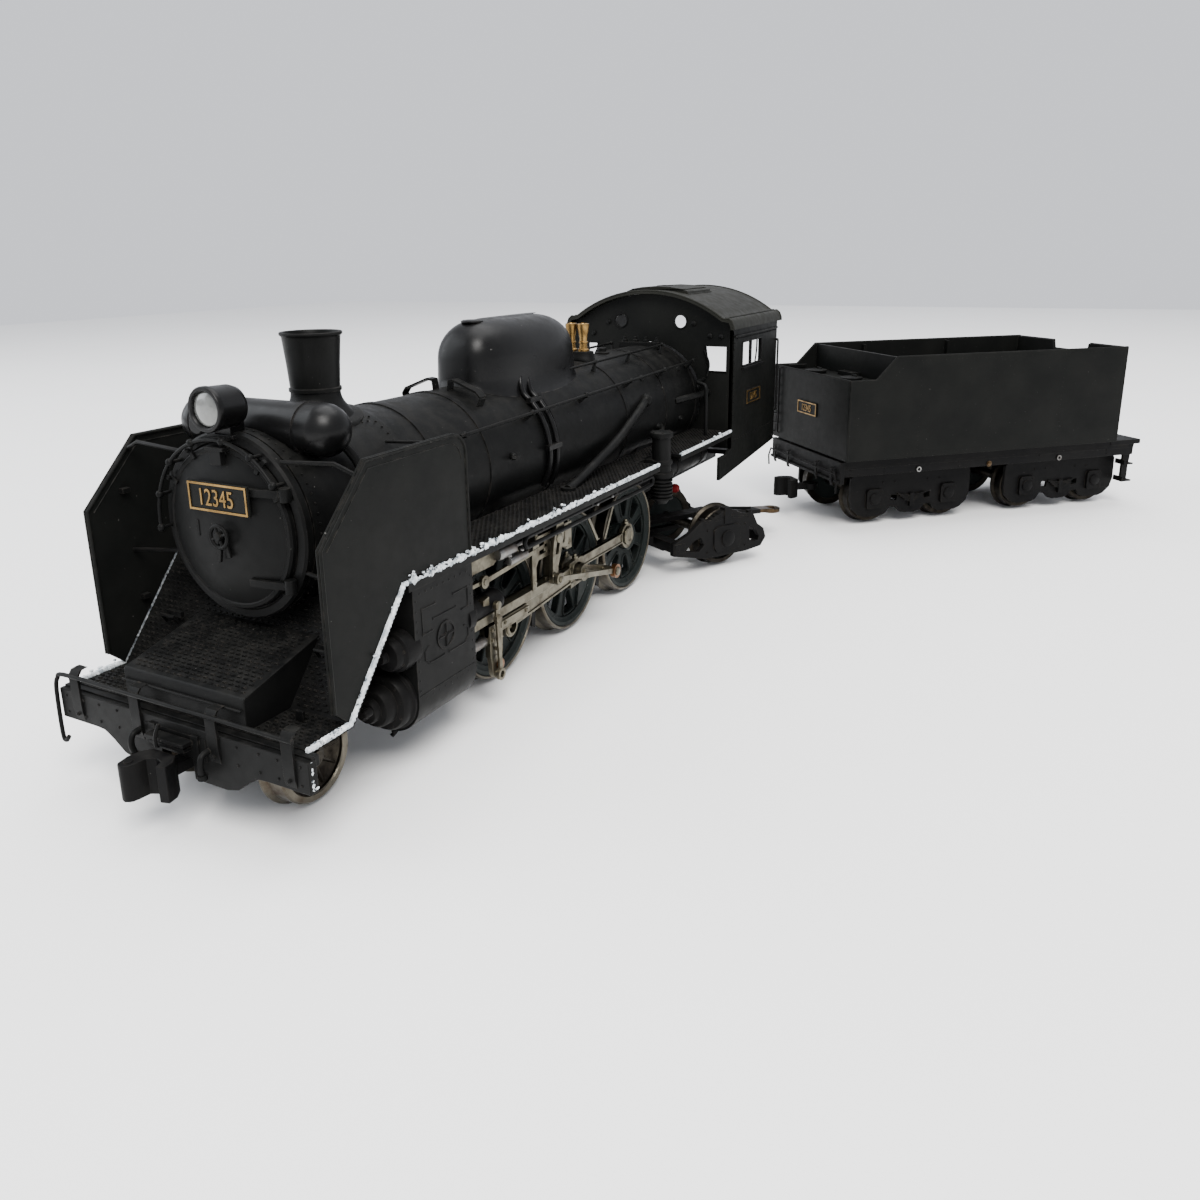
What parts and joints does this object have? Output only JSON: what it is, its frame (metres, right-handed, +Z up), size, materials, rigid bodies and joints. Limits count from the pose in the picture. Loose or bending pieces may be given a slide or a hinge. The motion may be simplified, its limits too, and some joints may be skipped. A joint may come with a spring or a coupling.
{
  "type": "model steam locomotive",
  "caption": "Scale model steam engine on driving, leading and trailing wheels with turning rods, smoke deflectors and cab, beside its uncoupled coal tender on bogies.",
  "frame": {"origin": "centre of the bottom of the bounding box, at the level of the wheel flanges", "axes": "+Y points from the engine's front buffer beam towards its cab, +X is the engine's left side where the turned tender stands, +Z is up"},
  "size_m": [0.1074, 0.2182, 0.0513],
  "materials": {
    "black_paint": "satin black",
    "roof_paint": "dusty grey-olive",
    "blackened_metal": "chemically blackened",
    "nickel": "nickel silver, slightly worn",
    "driver_metal": "dark wheel centres with bright tyres",
    "brass": "bare brass",
    "lens_glass": "frosted clear"
  },
  "bodies": {
    "locomotive": {"main_frame": "blackened_metal", "keeper_plate": "blackened_metal", "boiler": "black_paint", "smokebox_front": "black_paint", "chimney": "black_paint", "feedwater_heater": "black_paint", "headlight": "black_paint", "headlight_lens": "lens_glass", "dome": "black_paint", "safety_valves": "brass", "cab_shell": "black_paint", "cab_roof": "roof_paint", "running_board_left": "black_paint", "running_board_right": "black_paint", "deflector_left": "black_paint", "deflector_right": "black_paint", "front_deck": "black_paint", "buffer_beam": "black_paint", "cylinder_left": "black_paint", "cylinder_right": "black_paint", "motor": "blackened_metal", "feed_pump": "black_paint"},
    "worm_shaft": {"worm_shaft": "nickel"},
    "driver_axle_1": {"driver_axle_1": "driver_metal"},
    "driver_axle_2": {"driver_axle_2": "driver_metal"},
    "driver_axle_3": {"driver_axle_3": "driver_metal"},
    "side_rod_left": {"side_rod_left": "nickel"},
    "crank_plug_left": {"crank_plug_left": "blackened_metal"},
    "crosshead_left": {"crosshead_left": "nickel"},
    "piston_rod_left": {"piston_rod_left": "nickel"},
    "wrist_ball_left": {"wrist_ball_left": "nickel"},
    "main_rod_left": {"main_rod_left": "nickel"},
    "eccentric_rod_left": {"eccentric_rod_left": "nickel"},
    "expansion_link_left": {"expansion_link_left": "nickel"},
    "combination_lever_left": {"combination_lever_left": "nickel"},
    "side_rod_right": {"side_rod_right": "nickel"},
    "crank_plug_right": {"crank_plug_right": "blackened_metal"},
    "crosshead_right": {"crosshead_right": "nickel"},
    "piston_rod_right": {"piston_rod_right": "nickel"},
    "wrist_ball_right": {"wrist_ball_right": "nickel"},
    "main_rod_right": {"main_rod_right": "nickel"},
    "eccentric_rod_right": {"eccentric_rod_right": "nickel"},
    "expansion_link_right": {"expansion_link_right": "nickel"},
    "combination_lever_right": {"combination_lever_right": "nickel"},
    "pony_truck": {"pony_frame": "blackened_metal"},
    "pony_wheels": {"pony_wheelset": "nickel"},
    "trailing_truck": {"trailing_frame": "blackened_metal"},
    "trailing_wheels": {"trailing_wheelset": "nickel"},
    "drawbar": {"drawbar": "blackened_metal"},
    "front_coupler": {"front_coupler": "blackened_metal"},
    "tender": {"tender_tank": "black_paint", "tender_frame": "blackened_metal"},
    "tender_bogie_rear": {"tender_bogie_rear": "blackened_metal"},
    "tender_bogie_front": {"tender_bogie_front": "blackened_metal"},
    "tender_wheels_1": {"tender_wheelset_1": "nickel"},
    "tender_wheels_2": {"tender_wheelset_2": "nickel"},
    "tender_wheels_3": {"tender_wheelset_3": "nickel"},
    "tender_wheels_4": {"tender_wheelset_4": "nickel"},
    "tender_coupler": {"tender_coupler": "blackened_metal"}
  },
  "joints": [
    {"name": "driver_axle_2_spin", "type": "hinge", "parent": "locomotive", "child": "driver_axle_2", "pos_m": [-0.0351, -0.03758, 0.01], "axis": [1, 0, 0], "continuous": true},
    {"name": "driver_axle_1_spin", "type": "hinge", "parent": "locomotive", "child": "driver_axle_1", "pos_m": [-0.0351, -0.05818, 0.01], "axis": [1, 0, 0], "continuous": true},
    {"name": "driver_axle_3_spin", "type": "hinge", "parent": "locomotive", "child": "driver_axle_3", "pos_m": [-0.0351, -0.01698, 0.01], "axis": [1, 0, 0], "continuous": true},
    {"name": "worm_shaft_spin", "type": "hinge", "parent": "locomotive", "child": "worm_shaft", "pos_m": [-0.0351, -0.03758, 0.0199], "axis": [0, 1, 0], "continuous": true},
    {"name": "side_rod_left_turn", "type": "hinge", "parent": "driver_axle_2", "child": "side_rod_left", "pos_m": [-0.0237, -0.04115, 0.0113], "axis": [1, 0, 0], "continuous": true},
    {"name": "crank_plug_left_turn", "type": "hinge", "parent": "driver_axle_2", "child": "crank_plug_left", "pos_m": [-0.0284, -0.03937, 0.01065], "axis": [1, 0, 0], "continuous": true},
    {"name": "crosshead_left_travel", "type": "hinge", "parent": "crank_plug_left", "child": "crosshead_left", "pos_m": [-0.0208, -0.04115, 0.01], "axis": [1, 0, 0], "continuous": true},
    {"name": "piston_rod_left_turn", "type": "hinge", "parent": "crosshead_left", "child": "piston_rod_left", "pos_m": [-0.0208, -0.06198, 0.01], "axis": [0, 1, 0], "continuous": true},
    {"name": "wrist_ball_left_turn", "type": "hinge", "parent": "piston_rod_left", "child": "wrist_ball_left", "pos_m": [-0.0208, -0.06198, 0.01], "axis": [-0.0844, 0.996, 0.0307], "continuous": true},
    {"name": "main_rod_left_swing", "type": "hinge", "parent": "wrist_ball_left", "child": "main_rod_left", "pos_m": [-0.0208, -0.06198, 0.01], "axis": [0.0001, 0.9981, 0.0614], "continuous": true},
    {"name": "eccentric_rod_left_turn", "type": "hinge", "parent": "driver_axle_2", "child": "eccentric_rod_left", "pos_m": [-0.01845, -0.03498, 0.01], "axis": [1, 0, 0], "continuous": true},
    {"name": "expansion_link_left_swing", "type": "hinge", "parent": "locomotive", "child": "expansion_link_left", "pos_m": [-0.0193, -0.05118, 0.0196], "axis": [1, 0, 0], "range_deg": [-18, 18]},
    {"name": "combination_lever_left_swing", "type": "hinge", "parent": "crosshead_left", "child": "combination_lever_left", "pos_m": [-0.01925, -0.06663, 0.0053], "axis": [1, 0, 0], "range_deg": [-10, 10]},
    {"name": "side_rod_right_turn", "type": "hinge", "parent": "driver_axle_2", "child": "side_rod_right", "pos_m": [-0.0465, -0.03888, 0.00643], "axis": [1, 0, 0], "continuous": true},
    {"name": "crank_plug_right_turn", "type": "hinge", "parent": "driver_axle_2", "child": "crank_plug_right", "pos_m": [-0.0418, -0.03823, 0.00821], "axis": [1, 0, 0], "continuous": true},
    {"name": "crosshead_right_travel", "type": "hinge", "parent": "crank_plug_right", "child": "crosshead_right", "pos_m": [-0.0494, -0.03888, 0.01], "axis": [1, 0, 0], "continuous": true},
    {"name": "piston_rod_right_turn", "type": "hinge", "parent": "crosshead_right", "child": "piston_rod_right", "pos_m": [-0.0494, -0.05971, 0.01], "axis": [0, 1, 0], "continuous": true},
    {"name": "wrist_ball_right_turn", "type": "hinge", "parent": "piston_rod_right", "child": "wrist_ball_right", "pos_m": [-0.0494, -0.05971, 0.01], "axis": [-0.0307, 0.996, -0.0844], "continuous": true},
    {"name": "main_rod_right_swing", "type": "hinge", "parent": "wrist_ball_right", "child": "main_rod_right", "pos_m": [-0.0494, -0.05971, 0.01], "axis": [0.0002, 0.9858, -0.1682], "continuous": true},
    {"name": "eccentric_rod_right_turn", "type": "hinge", "parent": "driver_axle_2", "child": "eccentric_rod_right", "pos_m": [-0.05175, -0.03758, 0.0126], "axis": [1, 0, 0], "continuous": true},
    {"name": "expansion_link_right_swing", "type": "hinge", "parent": "locomotive", "child": "expansion_link_right", "pos_m": [-0.0509, -0.05118, 0.0196], "axis": [1, 0, 0], "range_deg": [-18, 18]},
    {"name": "combination_lever_right_swing", "type": "hinge", "parent": "crosshead_right", "child": "combination_lever_right", "pos_m": [-0.05095, -0.06436, 0.0053], "axis": [1, 0, 0], "range_deg": [-10, 10]},
    {"name": "pony_truck_swing", "type": "hinge", "parent": "locomotive", "child": "pony_truck", "pos_m": [-0.0351, -0.07408, 0.0045], "axis": [0, 0, 1], "range_deg": [-4, 4]},
    {"name": "pony_wheels_spin", "type": "hinge", "parent": "pony_truck", "child": "pony_wheels", "pos_m": [-0.0351, -0.09438, 0.0057], "axis": [1, 0, 0], "continuous": true},
    {"name": "trailing_truck_swing", "type": "hinge", "parent": "locomotive", "child": "trailing_truck", "pos_m": [-0.0351, -0.01058, 0.0058], "axis": [0, 0, 1], "range_deg": [-5, 60]},
    {"name": "trailing_wheels_spin", "type": "hinge", "parent": "trailing_truck", "child": "trailing_wheels", "pos_m": [-0.0241, 0.00847, 0.0059], "axis": [0.866, -0.5, 0], "continuous": true},
    {"name": "drawbar_swing", "type": "hinge", "parent": "trailing_truck", "child": "drawbar", "pos_m": [-0.0351, -0.01058, 0.008], "axis": [0, 0, 1], "range_deg": [-10, 10]},
    {"name": "front_coupler_swing", "type": "hinge", "parent": "locomotive", "child": "front_coupler", "pos_m": [-0.0351, -0.10008, 0.0069], "axis": [0, 0, 1], "range_deg": [-12, 12]},
    {"name": "tender_travel", "type": "slide", "parent": "locomotive", "child": "tender", "axis": [0.7212, 0.6928, 0], "range_m": [0, 0.06]},
    {"name": "tender_bogie_rear_swing", "type": "hinge", "parent": "tender", "child": "tender_bogie_rear", "pos_m": [0.00254, 0.05908, 0.009], "axis": [0, 0, 1], "range_deg": [-6, 6]},
    {"name": "tender_wheels_1_spin", "type": "hinge", "parent": "tender_bogie_rear", "child": "tender_wheels_1", "pos_m": [-0.00403, 0.05278, 0.0059], "axis": [0.6928, -0.7212, 0], "continuous": true},
    {"name": "tender_wheels_2_spin", "type": "hinge", "parent": "tender_bogie_rear", "child": "tender_wheels_2", "pos_m": [0.0091, 0.06538, 0.0059], "axis": [0.6928, -0.7212, 0], "continuous": true},
    {"name": "tender_bogie_front_swing", "type": "hinge", "parent": "tender", "child": "tender_bogie_front", "pos_m": [0.03034, 0.08579, 0.009], "axis": [0, 0, 1], "range_deg": [-6, 6]},
    {"name": "tender_wheels_3_spin", "type": "hinge", "parent": "tender_bogie_front", "child": "tender_wheels_3", "pos_m": [0.02377, 0.07948, 0.0059], "axis": [0.6928, -0.7212, 0], "continuous": true},
    {"name": "tender_wheels_4_spin", "type": "hinge", "parent": "tender_bogie_front", "child": "tender_wheels_4", "pos_m": [0.0369, 0.09209, 0.0059], "axis": [0.6928, -0.7212, 0], "continuous": true},
    {"name": "tender_coupler_swing", "type": "hinge", "parent": "tender", "child": "tender_coupler", "pos_m": [-0.01048, 0.04658, 0.0069], "axis": [0, 0, 1], "range_deg": [-12, 12]}
  ],
  "couplings": [
    {"joint": "driver_axle_1_spin", "follows": "driver_axle_2_spin", "ratio": 1},
    {"joint": "driver_axle_3_spin", "follows": "driver_axle_2_spin", "ratio": 1},
    {"joint": "worm_shaft_spin", "follows": "driver_axle_2_spin", "ratio": 30},
    {"joint": "side_rod_left_turn", "follows": "driver_axle_2_spin", "ratio": -1},
    {"joint": "crank_plug_left_turn", "follows": "driver_axle_2_spin", "ratio": -2},
    {"joint": "crosshead_left_travel", "follows": "driver_axle_2_spin", "ratio": 1},
    {"joint": "piston_rod_left_turn", "follows": "driver_axle_2_spin", "ratio": -1},
    {"joint": "wrist_ball_left_turn", "follows": "driver_axle_2_spin", "ratio": 2},
    {"joint": "main_rod_left_swing", "follows": "driver_axle_2_spin", "ratio": -1},
    {"joint": "eccentric_rod_left_turn", "follows": "driver_axle_2_spin", "ratio": -1},
    {"joint": "side_rod_right_turn", "follows": "driver_axle_2_spin", "ratio": -1},
    {"joint": "crank_plug_right_turn", "follows": "driver_axle_2_spin", "ratio": -2},
    {"joint": "crosshead_right_travel", "follows": "driver_axle_2_spin", "ratio": 1},
    {"joint": "piston_rod_right_turn", "follows": "driver_axle_2_spin", "ratio": -1},
    {"joint": "wrist_ball_right_turn", "follows": "driver_axle_2_spin", "ratio": 2},
    {"joint": "main_rod_right_swing", "follows": "driver_axle_2_spin", "ratio": -1},
    {"joint": "eccentric_rod_right_turn", "follows": "driver_axle_2_spin", "ratio": -1}
  ]
}
